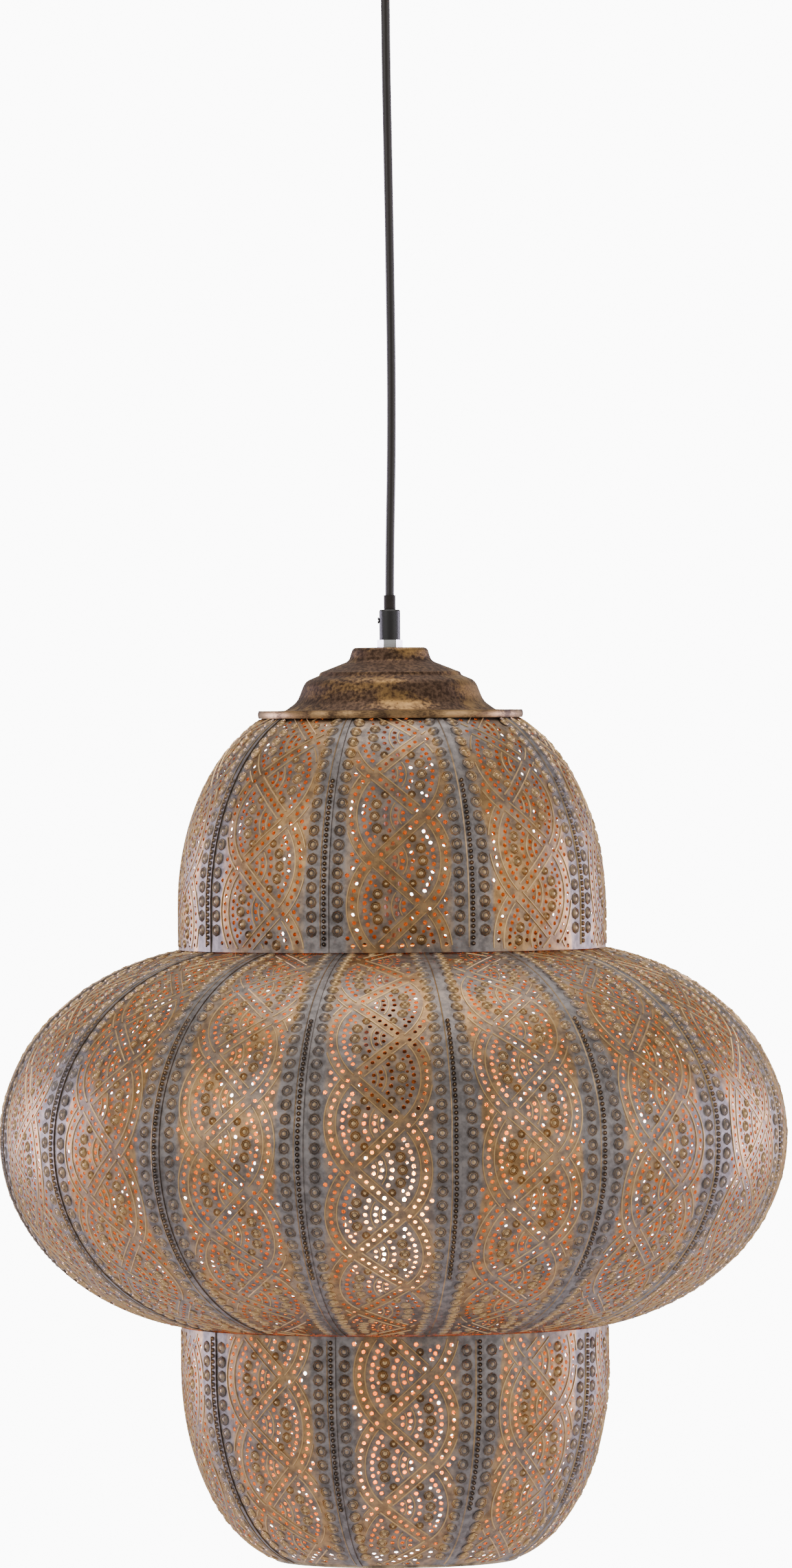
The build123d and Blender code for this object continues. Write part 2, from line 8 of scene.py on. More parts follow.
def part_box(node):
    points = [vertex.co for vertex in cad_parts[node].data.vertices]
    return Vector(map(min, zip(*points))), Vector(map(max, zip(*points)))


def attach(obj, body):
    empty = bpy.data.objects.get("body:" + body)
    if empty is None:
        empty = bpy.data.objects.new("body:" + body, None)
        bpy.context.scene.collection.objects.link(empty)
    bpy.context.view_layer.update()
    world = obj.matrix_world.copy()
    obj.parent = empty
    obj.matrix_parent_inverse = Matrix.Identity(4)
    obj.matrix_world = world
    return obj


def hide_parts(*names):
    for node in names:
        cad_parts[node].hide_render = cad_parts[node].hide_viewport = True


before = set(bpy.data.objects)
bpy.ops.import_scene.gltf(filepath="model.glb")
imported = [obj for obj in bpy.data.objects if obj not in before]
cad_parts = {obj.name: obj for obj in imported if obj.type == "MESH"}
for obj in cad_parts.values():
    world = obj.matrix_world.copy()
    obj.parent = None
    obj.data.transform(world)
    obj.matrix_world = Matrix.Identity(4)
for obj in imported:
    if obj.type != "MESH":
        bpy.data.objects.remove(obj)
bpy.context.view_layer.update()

# ---------------------------------------------------------------- camera
# A long lens at the level of the cap, square on to the front, turned a touch so the lamp hangs as it
# does in the room.
eye_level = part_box("cap_band")[0].z + 0.0015
camera_distance = 6.8
seen_height = 0.996
film_height = 36
lean_degrees = -0.42
aim = Vector((0.0032, 0, eye_level - 0.0435))
camera = bpy.data.objects.new("camera", bpy.data.cameras.new("camera"))
bpy.context.scene.collection.objects.link(camera)
camera.location = (aim.x, -camera_distance, eye_level)
camera.data.sensor_fit = "VERTICAL"
camera.data.sensor_height = film_height
camera.data.lens = film_height * camera_distance / seen_height
camera.data.clip_end = 50
facing = (aim - camera.location).to_track_quat("-Z", "Y").to_matrix()
camera.rotation_euler = (facing @ Matrix.Rotation(math.radians(lean_degrees), 3, "Z")).to_euler()
bpy.context.scene.camera = camera


# ---------------------------------------------------------------- pendant cord
# Two-core flex with a smooth black-brown sheath, pulled straight by the lantern, with the slight set
# that a coil leaves in it.
class Link:
    """One output socket of a node tree. Arithmetic between values adds Math nodes."""

    def __init__(self, tree, socket=None):
        self.tree = tree
        self.socket = socket

    def node(self, kind, settings=None, inputs=None, output=0):
        """Adds a node of this type, sets its settings, fills its inputs and gives back one output."""
        made = self.tree.nodes.new(kind)
        for name, value in (settings or {}).items():
            setattr(made, name, value)
        for name, value in (inputs or {}).items():
            if isinstance(value, Link):
                self.tree.links.new(value.socket, made.inputs[name])
            else:
                made.inputs[name].default_value = value
        return Link(self.tree, made.outputs[output])

    def maths(self, operation, first, second=0.0):
        return self.node("ShaderNodeMath", {"operation": operation}, {0: first, 1: second})

    def __add__(self, other):
        return self.maths("ADD", self, other)

    __radd__ = __add__

    def __sub__(self, other):
        return self.maths("SUBTRACT", self, other)

    def __rsub__(self, other):
        return self.maths("SUBTRACT", other, self)

    def __mul__(self, other):
        return self.maths("MULTIPLY", self, other)

    __rmul__ = __mul__

    def __truediv__(self, other):
        return self.maths("DIVIDE", self, other)

    def smooth(self, low, high, start=0.0, end=1.0):
        """Eases from start to end as this value goes from low to high."""
        return self.node(
            "ShaderNodeMapRange",
            {"interpolation_type": "SMOOTHSTEP"},
            {"Value": self, "From Min": low, "From Max": high, "To Min": start, "To Max": end},
        )


def noise(pen, scale, detail=3.0, roughness=0.55, stretch=(1, 1, 1)):
    """Soft noise from 0 to 1 on object coordinates, scale in features a metre."""
    place = pen.node("ShaderNodeTexCoord", output="Object")
    place = pen.node("ShaderNodeMapping", {}, {"Vector": place, "Scale": stretch})
    inputs = {"Vector": place, "Scale": scale, "Detail": detail, "Roughness": roughness}
    return pen.node("ShaderNodeTexNoise", {}, inputs)


def mix(pen, factor, first, second):
    """A colour between two, by factor."""

    def colour(value):
        return value if isinstance(value, Link) else (*value, 1)

    inputs = {0: factor, 6: colour(first), 7: colour(second)}
    return pen.node("ShaderNodeMix", {"data_type": "RGBA"}, inputs, output=2)


def finish_with(name, metallic=0.0, roughness=0.5, **sockets):
    """A new material: gives back the material, its shader and a pen that draws in its tree."""
    material = bpy.data.materials.new(name)
    material.use_nodes = True
    shader = material.node_tree.nodes["Principled BSDF"]
    shader.inputs["Metallic"].default_value = metallic
    shader.inputs["Roughness"].default_value = roughness
    for socket, value in sockets.items():
        shader.inputs[socket.replace("_", " ")].default_value = value
    return material, shader, Link(material.node_tree)


def feed(shader, pen, **sockets):
    """Joins what varies over the surface to the shader's sockets; bump is (height, metres)."""
    for socket, value in sockets.items():
        if socket == "bump":
            height, distance = value
            inputs = {"Height": height, "Distance": distance, "Strength": 1.0}
            bumped = pen.node("ShaderNodeBump", {}, inputs)
            pen.tree.links.new(bumped.socket, shader.inputs["Normal"])
        else:
            pen.tree.links.new(value.socket, shader.inputs[socket.replace("_", " ")])


def dress(node, material):
    """Gives a CAD node's object one material all over."""
    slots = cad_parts[node].material_slots
    for place in slots:
        place.material = material


def link_object(name, data):
    """A new object in the scene, at the origin."""
    made = bpy.data.objects.new(name, data)
    bpy.context.scene.collection.objects.link(made)
    return made


cord_diameter = 0.0057
cord_route = [
    (0, 0, -0.0562),
    (0, 0, -0.0904),
    (0.0016, 0, -0.2100),
    (0.0024, 0, -0.3300),
    (0, 0, -0.4250),
    (0, 0, -0.4592),
]
curve = bpy.data.curves.new("pendant_flex", "CURVE")
curve.dimensions = "3D"
spline = curve.splines.new("NURBS")
spline.points.add(len(cord_route) - 1)
for point, place in zip(spline.points, cord_route):
    point.co = (*place, 1)
spline.order_u = 3
spline.use_endpoint_u = True
spline.resolution_u = 24
curve.bevel_depth = cord_diameter / 2
curve.bevel_resolution = 7
curve.use_fill_caps = True
cord = link_object("pendant_flex", curve)

sheath, shader, pen = finish_with("cord_sheath", roughness=0.38, Coat_Weight=0.15)
mottle = noise(pen, 900, 2)
wander = noise(pen, 30, 2, stretch=(1, 1, 0.3))
feed(
    shader,
    pen,
    Base_Color=mix(pen, wander, (0.012, 0.009, 0.008), (0.040, 0.026, 0.020)),
    Roughness=mottle * 0.16 + 0.32,
    bump=(mottle, 0.00006),
)
curve.materials.append(sheath)
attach(cord, "lantern")
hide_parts("pendant_cord")

# ---------------------------------------------------------------- soft sleeves
# Short rubber sleeves pushed over the flex where it enters each grip: dark brown, matt and a
# little dusty, with a fine grain.
sleeve_rubber, shader, pen = finish_with("sleeve_rubber", roughness=0.7, Specular_IOR_Level=0.35)
grain = noise(pen, 1400, 3)
feed(
    shader,
    pen,
    Base_Color=mix(pen, noise(pen, 120, 3), (0.014, 0.010, 0.008), (0.050, 0.034, 0.026)),
    Roughness=grain * 0.2 + 0.55,
    bump=(grain, 0.0001),
)
dress("upper_sleeve", sleeve_rubber)
dress("cord_sleeve", sleeve_rubber)

# ---------------------------------------------------------------- cord grips
# Moulded nylon grips screwed on the M10 thread, with a slotted clamping screw in the lower one.
# Satin black, with the fine grain of the mould.
grip_nylon, shader, pen = finish_with("grip_nylon", roughness=0.42)
grain = noise(pen, 2500, 2)
feed(
    shader,
    pen,
    Base_Color=mix(pen, noise(pen, 90, 3), (0.010, 0.009, 0.009), (0.026, 0.022, 0.020)),
    Roughness=grain * 0.16 + 0.34,
    bump=(grain, 0.00005),
)
for node in ("cup_grip", "cord_grip", "grip_screw"):
    dress(node, grip_nylon)

# ---------------------------------------------------------------- nuts, strap, nipple, tube and washer
# Steel hardware, turned or rolled before plating. The cap's nuts are bright and faintly dulled by
# handling, and the rest is greyer zinc.
plated_steel, shader, pen = finish_with("plated_steel", metallic=1.0, roughness=0.3)
streaks = noise(pen, 260, 4, stretch=(1, 1, 9))
cloud = noise(pen, 45, 3)
feed(
    shader,
    pen,
    Base_Color=mix(pen, cloud, (0.62, 0.61, 0.60), (0.86, 0.85, 0.83)),
    Roughness=streaks * 0.18 + cloud * 0.12 + 0.12,
    bump=(streaks, 0.00004),
)
zinc_steel, shader, pen = finish_with("zinc_steel", metallic=1.0, roughness=0.4)
streaks = noise(pen, 180, 4, stretch=(1, 1, 6))
cloud = noise(pen, 35, 4)
feed(
    shader,
    pen,
    Base_Color=mix(pen, cloud, (0.33, 0.33, 0.34), (0.58, 0.57, 0.54)),
    Roughness=streaks * 0.2 + cloud * 0.2 + 0.2,
    bump=(streaks, 0.00006),
)
dress("cap_nuts", plated_steel)
for node in ("ceiling_bar", "cup_nipple", "cup_nuts", "stem_tube", "inner_washer"):
    dress(node, zinc_steel)

# ---------------------------------------------------------------- ceiling cup
# Deep-drawn steel cup that hides the strap and the wires at the ceiling, lacquered dark bronze to
# match the lantern's cap.
cup_lacquer, shader, pen = finish_with("cup_lacquer", metallic=0.6, roughness=0.4, Coat_Weight=0.3)
cloud = noise(pen, 40, 4)
fleck = noise(pen, 1200, 2)
feed(
    shader,
    pen,
    Base_Color=mix(pen, cloud, (0.020, 0.016, 0.013), (0.062, 0.046, 0.034)),
    Roughness=fleck * 0.2 + cloud * 0.15 + 0.22,
    bump=(fleck, 0.00004),
)
dress("ceiling_cup", cup_lacquer)

# ---------------------------------------------------------------- cap and its band
# Spun brass cap under a dark brown patina that is pitted and rubbed through to gold, and the
# half-round band soldered round its flange.
cap_patina, shader, pen = finish_with("cap_patina", metallic=1.0, roughness=0.42)
patch = noise(pen, 26, 5, 0.6, stretch=(1, 1, 1.8))
pits = noise(pen, 420, 3, 0.6)
spots = pen.node(
    "ShaderNodeTexVoronoi",
    {},
    {"Vector": pen.node("ShaderNodeTexCoord", output="Object"), "Scale": 300.0},
)
rubbed = (patch * 0.75 + pits * 0.25).smooth(0.49, 0.66)
pitted = spots.smooth(0.05, 0.22, 1.0, 0.0) * pits.smooth(0.5, 0.65)
brown = mix(pen, pits.smooth(0.35, 0.65), (0.062, 0.036, 0.024), (0.165, 0.098, 0.062))
gold = mix(pen, noise(pen, 150, 3), (0.25, 0.135, 0.052), (0.52, 0.300, 0.105))
feed(
    shader,
    pen,
    Base_Color=mix(pen, pitted * 0.8, mix(pen, rubbed, brown, gold), (0.022, 0.015, 0.012)),
    Roughness=0.56 - rubbed * 0.14 + pitted * 0.2,
    bump=(pits * 0.6 - pitted * 0.8, 0.00035),
)
dress("cap", cap_patina)

band_brass, shader, pen = finish_with("band_brass", metallic=1.0, roughness=0.35)
patch = noise(pen, 60, 4, 0.6)
scratch = noise(pen, 500, 3, stretch=(1, 1, 5))
worn = (patch * 0.7 + scratch * 0.3).smooth(0.38, 0.6)
feed(
    shader,
    pen,
    Base_Color=mix(pen, worn, (0.095, 0.058, 0.036), (0.46, 0.275, 0.125)),
    Roughness=0.5 - worn * 0.22,
    bump=(scratch, 0.00012),
)
dress("cap_band", band_brass)

# ---------------------------------------------------------------- hoops
# Round brass wire, closed into rings and soldered inside the ends of the strips: two at the waists,
# one at the neck and one at the open rim, all dull from the heat.
hoop_brass, shader, pen = finish_with("hoop_brass", metallic=1.0, roughness=0.4)
cloud = noise(pen, 90, 4)
feed(
    shader,
    pen,
    Base_Color=mix(pen, cloud.smooth(0.35, 0.65), (0.16, 0.12, 0.08), (0.50, 0.38, 0.23)),
    Roughness=cloud * 0.3 + 0.25,
    bump=(noise(pen, 700, 2), 0.00008),
)
dress("waist_hoops", hoop_brass)
dress("end_hoops", hoop_brass)

# ---------------------------------------------------------------- lampholder
# Black phenolic holder in two parts, cap and skirt, for an E27 bulb. Inside are a glazed porcelain
# insert, a brass screw shell and the centre contact.
phenolic, shader, pen = finish_with("phenolic", roughness=0.32)
cloud = noise(pen, 70, 4)
feed(
    shader,
    pen,
    Base_Color=mix(pen, cloud, (0.006, 0.005, 0.005), (0.020, 0.016, 0.014)),
    Roughness=cloud * 0.2 + 0.24,
    bump=(noise(pen, 1500, 2), 0.00004),
)
dress("holder_cap", phenolic)
dress("holder_skirt", phenolic)

glaze, shader, pen = finish_with("porcelain", roughness=0.2, Coat_Weight=0.5)
cloud = noise(pen, 120, 4)
feed(
    shader,
    pen,
    Base_Color=mix(pen, cloud, (0.72, 0.69, 0.62), (0.86, 0.84, 0.79)),
    Roughness=cloud * 0.15 + 0.14,
    bump=(cloud, 0.0001),
)
dress("holder_core", glaze)

shell_brass, shader, pen = finish_with("shell_brass", metallic=1.0, roughness=0.3)
cloud = noise(pen, 150, 3)
turns = noise(pen, 120, 2, stretch=(0.2, 0.2, 8))
feed(
    shader,
    pen,
    Base_Color=mix(pen, cloud, (0.42, 0.30, 0.14), (0.74, 0.58, 0.30)),
    Roughness=cloud * 0.25 + 0.18,
    bump=(turns, 0.0002),
)
dress("holder_shell", shell_brass)
dress("holder_contact", shell_brass)

# ---------------------------------------------------------------- bulb
# Clear pear-shaped filament bulb, lit: nickelled screw base with a rolled thread, black insulator,
# blown glass with a foot inside it, and bright filaments.
base_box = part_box("bulb_base")
base_radius = base_box[1].x
thread_pitch = 0.003629
thread_depth = 0.0009
base_top, base_foot = base_box[1].z - 0.0008, base_box[0].z
lip_set, foot_set = 0.0022, 0.0013
around = 48
rows_per_turn = 8
fade_in_rows, fade_out_rows = 10, 6
thread_rows = int((base_top - base_foot) / thread_pitch * rows_per_turn)
shape = bmesh.new()
rings = []
for row in range(thread_rows + 1):
    height = base_foot + (base_top - base_foot) * row / thread_rows
    fade = min(1, row / fade_in_rows, (thread_rows - row) / fade_out_rows)
    ring = []
    for step in range(around):
        angle = math.tau * step / around
        wave = 0.5 + 0.5 * math.cos(math.tau * height / thread_pitch - angle)
        radius = base_radius - 0.0001 - thread_depth * fade * (1 - wave)
        ring.append(shape.verts.new((radius * math.cos(angle), radius * math.sin(angle), height)))
    rings.append(ring)
lip = []
for step in range(around):
    angle = math.tau * step / around
    radius = base_radius - lip_set
    lip.append(shape.verts.new((radius * math.cos(angle), radius * math.sin(angle), base_box[1].z)))
rings.append(lip)
inner = []
for step in range(around):
    angle = math.tau * step / around
    radius = base_radius - foot_set
    inner.append(shape.verts.new((radius * math.cos(angle), radius * math.sin(angle), base_foot)))
for lower, upper in zip([inner] + rings, rings):
    for step in range(around):
        after = (step + 1) % around
        shape.faces.new((lower[step], lower[after], upper[after], upper[step]))
shape.faces.new(lip)
shape.faces.new(reversed(inner))
mesh = bpy.data.meshes.new("screw_base")
shape.to_mesh(mesh)
shape.free()
mesh.shade_smooth()
screw_base = link_object("screw_base", mesh)
nickel, shader, pen = finish_with("base_nickel", metallic=1.0, roughness=0.25)
cloud = noise(pen, 160, 3)
feed(
    shader,
    pen,
    Base_Color=mix(pen, cloud, (0.55, 0.53, 0.50), (0.82, 0.80, 0.77)),
    Roughness=cloud * 0.25 + 0.14,
    bump=(noise(pen, 900, 2), 0.00003),
)
mesh.materials.append(nickel)
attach(screw_base, "bulb")
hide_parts("bulb_base")

insulator, shader, pen = finish_with("insulator_glass", roughness=0.15, Coat_Weight=0.4)
tip_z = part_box("bulb_tip")[1].z
height = pen.node("ShaderNodeSeparateXYZ", {}, {0: pen.node("ShaderNodeTexCoord", output="Object")}, 2)
solder = height.smooth(tip_z - 0.0014, tip_z - 0.0008)
cloud = noise(pen, 400, 3)
feed(
    shader,
    pen,
    Base_Color=mix(pen, solder, (0.008, 0.007, 0.009), (0.55, 0.55, 0.56)),
    Metallic=solder * 1.0,
    Roughness=cloud * 0.2 + solder * 0.15 + 0.1,
    bump=(cloud, 0.0001),
)
dress("bulb_tip", insulator)

clear, shader, pen = finish_with("bulb_clear_glass", roughness=0.03, IOR=1.45)
tree = clear.node_tree
see_through = pen.node("ShaderNodeBsdfTransparent", {}, {"Color": (1.0, 0.97, 0.92, 1)})
rim = pen.node("ShaderNodeFresnel", {}, {"IOR": 1.45})
streak = noise(pen, 60, 2, stretch=(1, 1, 0.2))
feed(
    shader,
    pen,
    Base_Color=mix(pen, streak, (0.95, 0.88, 0.76), (1.0, 0.95, 0.86)),
    Roughness=streak * 0.03 + 0.01,
)
blend = pen.node("ShaderNodeMixShader", {}, {0: rim * 0.9 + 0.03, 1: see_through})
tree.links.new(shader.outputs[0], blend.socket.node.inputs[2])
tree.links.new(blend.socket, tree.nodes["Material Output"].inputs["Surface"])
dress("bulb_glass", clear)
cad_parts["bulb_glass"].data.shade_smooth()

# The foot: a flared glass tube inside the neck, drawn down to a narrow stalk.
neck_top = base_foot + 0.0065
foot_profile = [
    (0.0108, 0),
    (0.0075, -0.006),
    (0.0045, -0.014),
    (0.0032, -0.030),
    (0.0030, -0.040),
    (0.0014, -0.0435),
]
shape = bmesh.new()
around = 24
rings = []
for radius, drop in foot_profile:
    spots = [math.tau * step / around for step in range(around)]
    rings.append(
        [shape.verts.new((radius * math.cos(a), radius * math.sin(a), neck_top + drop)) for a in spots]
    )
for upper, lower in zip(rings, rings[1:]):
    for step in range(around):
        after = (step + 1) % around
        shape.faces.new((lower[step], lower[after], upper[after], upper[step]))
shape.faces.new(rings[0])
shape.faces.new(reversed(rings[-1]))
mesh = bpy.data.meshes.new("glass_foot")
shape.to_mesh(mesh)
shape.free()
mesh.shade_smooth()
glass_foot = link_object("glass_foot", mesh)
mesh.materials.append(clear)
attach(glass_foot, "bulb")

# The filaments: long carbon-style rods, glowing brightest in the middle.
glow, shader, pen = finish_with("filament_glow", roughness=0.5)
low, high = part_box("bulb_filaments")
unlit_top = 0.042
bright_half, dark_half = 0.028, 0.034
glow_strength = 1500.0
middle = (low.z + high.z - unlit_top) / 2
height = pen.node("ShaderNodeSeparateXYZ", {}, {0: pen.node("ShaderNodeTexCoord", output="Object")}, 2)
offset = pen.maths("ABSOLUTE", height - middle)
shader.inputs["Emission Strength"].default_value = glow_strength
feed(
    shader,
    pen,
    Base_Color=mix(pen, noise(pen, 800, 2), (0.9, 0.6, 0.25), (1.0, 0.75, 0.4)),
    Emission_Color=mix(pen, offset.smooth(bright_half, dark_half), (1.0, 0.44, 0.10), (0.06, 0.02, 0.005)),
)
dress("bulb_filaments", glow)

# ---------------------------------------------------------------- stamped strips
# Brass sheet stamped with a plait between two borders of round studs, pierced through, toned blue-grey and
# rubbed bright on the raised parts. The inner face carries painted light: a bright copper-orange that stands
# in for the bulb's warm glow on the inside. Each strip laps the next one on its right.
sheet = 0.0005
cross_half = 0.0154
half_period = 0.0287
apex_set = 0.0055
band_arc = 0.0397
band_half = 0.0036
plait_edge = 0.0333
stud_left, stud_right = -0.0392, 0.0396
ridge_right = 0.0455
strip_centre = -0.0025
lap_lift = 0.00065
lap = 0.005
ridge_radius = 0.00048
stud_radius = 0.0044
left_margin, right_margin = 0.0055, 0.0065
border_room = 0.0046
strip_shift = 0.618
corner_angle = 0.9

patina, shader, pen = finish_with("patinated_brass", metallic=1.0, roughness=0.4)
flat_place = pen.node("ShaderNodeUVMap", {"uv_map": "strip"})
across = pen.node("ShaderNodeSeparateXYZ", {}, {0: flat_place}, 0) * 0.1
along = pen.node("ShaderNodeSeparateXYZ", {}, {0: flat_place}, 1) * 0.1
fold = pen.maths("PINGPONG", along, half_period)
unfold = half_period - fold
slope_length = math.hypot(2 * cross_half, half_period)
diagonal = ((across + cross_half) * (half_period / slope_length) - fold * (2 * cross_half / slope_length))
diagonal = pen.maths("ABSOLUTE", diagonal)
apex = cross_half - apex_set


def bow(sideways, lengthways):
    """Distance from the middle of the strand that bows round an apex."""
    reach = pen.maths("SQRT", sideways * sideways + lengthways * lengthways)
    near = pen.maths("ABSOLUTE", reach - band_arc)
    return near + sideways.smooth(0.018, 0.020, 0.05, 0.0)


right_bow = bow(across + apex, fold)
left_bow = bow(apex - across, unfold)
strand = pen.maths("MINIMUM", pen.maths("MINIMUM", right_bow, left_bow), diagonal)
on_strand = strand.smooth(band_half - 0.0006, band_half + 0.0008, 1.0, 0.0)
bead = pen.node("ShaderNodeAttribute", {"attribute_name": "bead"}, output="Fac")
patches = noise(pen, 14, 4, 0.6)
mottle = noise(pen, 180, 4, 0.6)
specks = noise(pen, 900, 2)
raised = pen.maths("MAXIMUM", bead, 0.0)
inner_side = bead.smooth(-0.9, -0.3, 1.0, 0.0)
inset = pen.node("ShaderNodeAttribute", {"attribute_name": "inset"}, output="Fac")
in_plait = pen.maths("ABSOLUTE", across).smooth(plait_edge - 0.002, plait_edge + 0.003, 1.0, 0.0)
in_plait = in_plait * inset.smooth(0.0050, 0.0095)
worn = in_plait * 0.26 + on_strand * in_plait * 0.18 + raised * 0.38 + patches * 0.9 + mottle * 0.35
worn = (worn - 0.61).smooth(0.0, 0.62)
grey = mix(pen, mottle.smooth(0.3, 0.7), (0.172, 0.152, 0.145), (0.345, 0.308, 0.294))
tan = mix(pen, mottle.smooth(0.3, 0.7), (0.250, 0.140, 0.060), (0.520, 0.308, 0.135))
bright = mix(pen, raised * worn, tan, (0.640, 0.420, 0.200))
# Painted light: the inner face of the sheet gets a bright copper-orange, which stands in for the bulb's warm
# light falling on the inside of the lantern.
painted_bulb_glow = mix(pen, patches, (0.480, 0.260, 0.100), (0.660, 0.390, 0.170))
feed(
    shader,
    pen,
    # inner_side picks the inner face, where the painted bulb glow replaces the toned brass.
    Base_Color=mix(pen, inner_side, mix(pen, worn, grey, bright), painted_bulb_glow),
    Roughness=0.48 - worn * 0.14 + specks * 0.12,
    bump=(mottle * 0.7 + specks * 0.3, 0.00022),
)

period = 2 * half_period
waist, widest, belly_edge, open_edge = 0.1357, 0.2497, 0.131, 0.078
lap_angle = {"dome": lap / waist, "belly": lap / widest, "drum": lap / waist}
strip_count = {"dome": 9, "belly": 16, "drum": 9}
first_edge = {"dome": -109, "belly": -104, "drum": -108}
equator = -0.7843
belly_centre, belly_reach, belly_rise = 0.1027, 0.1470, 0.1218
dome_centre, dome_reach, dome_rise, dome_shoulder = 0.0487, 0.0870, 0.1288, -0.6379
drum_centre, drum_reach, drum_rise, drum_shoulder = 0.0617, 0.0740, 0.1244, -0.9299
OUTLINE, RIDGE, HOLE, STUD = range(4)


def arc_points(centre, reach, rise, height, start, end, steps=120):
    """Points (radius, height) along part of an ellipse, between two angles."""
    turns = [start + (end - start) * step / steps for step in range(steps + 1)]
    return [(centre + reach * math.cos(turn), height + rise * math.sin(turn)) for turn in turns]


def meridian_of(kind):
    """Points (radius, height) up the outside of one tier, from its lower edge to its upper edge."""
    low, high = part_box(f"{kind}_strip_{'01' if kind == 'belly' else '1'}")
    if kind == "belly":
        end = math.acos((belly_edge - belly_centre) / belly_reach)
        return arc_points(belly_centre, belly_reach, belly_rise, equator, -end, end)
    if kind == "dome":
        end = math.acos((open_edge - dome_centre) / dome_reach)
        return [(waist, low.z)] + arc_points(dome_centre, dome_reach, dome_rise, dome_shoulder, 0, end)
    end = math.acos((open_edge - drum_centre) / drum_reach)
    return arc_points(drum_centre, drum_reach, drum_rise, drum_shoulder, -end, 0) + [(waist, high.z)]


def layout_of(kind, route, phase):
    """The flat pattern of one strip: a mesh of points and lines, each marked with its kind and size."""
    lengths = [0.0]
    for one, other in zip(route, route[1:]):
        lengths.append(lengths[-1] + math.dist(one, other))
    half_pitch = math.pi / strip_count[kind]

    def radius_at(height):
        for step in range(1, len(lengths)):
            if height <= lengths[step] or step == len(lengths) - 1:
                share = (height - lengths[step - 1]) / (lengths[step] - lengths[step - 1])
                return route[step - 1][0] + (route[step][0] - route[step - 1][0]) * min(1, max(0, share))

    def borders(y):
        """Where the two columns of border studs run: they follow the seams where the strip narrows."""
        radius = radius_at(y)
        left = strip_centre - radius * (half_pitch - lap_angle[kind])
        right = strip_centre + radius * half_pitch
        return max(stud_left, left + left_margin), min(stud_right, right - right_margin)

    def inside_borders(x, y, around):
        left, right = borders(min(max(y, 0), lengths[-1]))
        return left + border_room + around < x < right - border_room - around

    def clear(x, y, around):
        """Whether a feature keeps off the edges and off the part under the next strip's lap."""
        if not around + 0.001 < y < lengths[-1] - around - 0.001:
            return False
        radius = radius_at(y)
        left = strip_centre - radius * (half_pitch - lap_angle[kind])
        right = strip_centre + radius * (half_pitch + lap_angle[kind])
        return left + around + 0.001 < x < right - around - 0.0008

    holes, studs, ridges = [], [], []

    def pierce(x, y, radius):
        apart = all(math.hypot(x - a, y - b) > radius + c + 0.0006 for a, b, c in holes)
        if apart and clear(x, y, radius) and inside_borders(x, y, radius):
            holes.append((x, y, radius))

    def stud(x, y, size, bordered=True):
        around = stud_radius * size
        if clear(x, y, around) and (not bordered or inside_borders(x, y, around)):
            studs.append((x, y, size))

    def ridge(points, bordered=True):
        run = []
        for x, y in points:
            if clear(x, y, 0.0007) and (not bordered or inside_borders(x, y, 0.0005)):
                run.append((x, y))
                continue
            if len(run) > 2:
                ridges.append(run)
            run = []
        if len(run) > 2:
            ridges.append(run)

    for turn in range(-2, 2 * int(lengths[-1] / period) + 5):
        side = 1 if turn % 2 == 0 else -1
        middle = phase + turn * half_period
        tip = -side * apex

        def polar(reach, degrees):
            angle = math.radians(degrees)
            return tip + side * reach * math.cos(angle), middle + reach * math.sin(angle)

        for reach in (band_arc - band_half, band_arc + band_half):
            ridge([polar(reach, degrees) for degrees in range(-46, 41, 2)])
        for reach, span in ((0.0098, 34), (0.0150, 36)):
            ridge([polar(reach, degrees) for degrees in range(-span, span + 1, 6)])
        run, rise = 2 * side * cross_half, half_period
        size = math.hypot(run, rise)
        for offset in (-band_half, band_half):
            ridge([
                (
                    -side * cross_half + run * share - offset * rise / size,
                    middle + rise * share + offset * run / size,
                )
                for share in (0.14 + 0.82 * step / 18 for step in range(19))
            ])
        for step in range(-6, 7):
            pierce(*polar(band_arc, step * 7.3), 0.0013)
        for step in range(7):
            share = 0.14 + 0.12 * step
            pierce(-side * cross_half + run * share, middle + rise * share, 0.0013)
        rows = (
            (0.0075, 0.0013, (-17, 17)),
            (0.0122, 0.0014, (-21, 0, 21)),
            (0.0185, 0.0014, (-31, -15.5, 0, 15.5, 31)),
            (0.0318, 0.0014, (-36, -28.5, -20.5, -12.3, -4.1, 4.1, 12.3, 20.5, 28.5, 36)),
            (0.0281, 0.0010, (-28, -9.4, 9.4, 28)),
        )
        for reach, radius, places in rows:
            for degrees in places:
                pierce(*polar(reach, degrees), radius)
        for degrees in (-18.7, 0, 18.7):
            stud(*polar(0.0249, degrees), 0.82)
        for degrees in (-38, 38):
            stud(*polar(0.0232, degrees), 0.62)
        notch = ((0.0111, 0), (0.014, 0.0042), (0.0183, 0.0044), (0.0174, 0.009), (0.0195, 0.0133))
        for outward, beside in notch:
            for hand in (-1, 1):
                pierce(-side * (cross_half + outward), middle + hand * beside, 0.0014)
    stud_pitch, bead_pitch, ridge_step = 0.00905, 0.0036, 0.003
    for step in range(int(lengths[-1] / stud_pitch) + 1):
        y = (step + 0.5) * stud_pitch
        for column in borders(y):
            stud(column, y, 0.9, bordered=False)
    for step in range(int(lengths[-1] / bead_pitch) + 1):
        y = (step + 0.5) * bead_pitch
        stud(borders(y)[1] + 0.0085, y, 0.34, bordered=False)
    ends = [ridge_step * step for step in range(int(lengths[-1] / ridge_step) + 1)]
    ridge([(borders(y)[1] + ridge_right - stud_right, y) for y in ends], bordered=False)

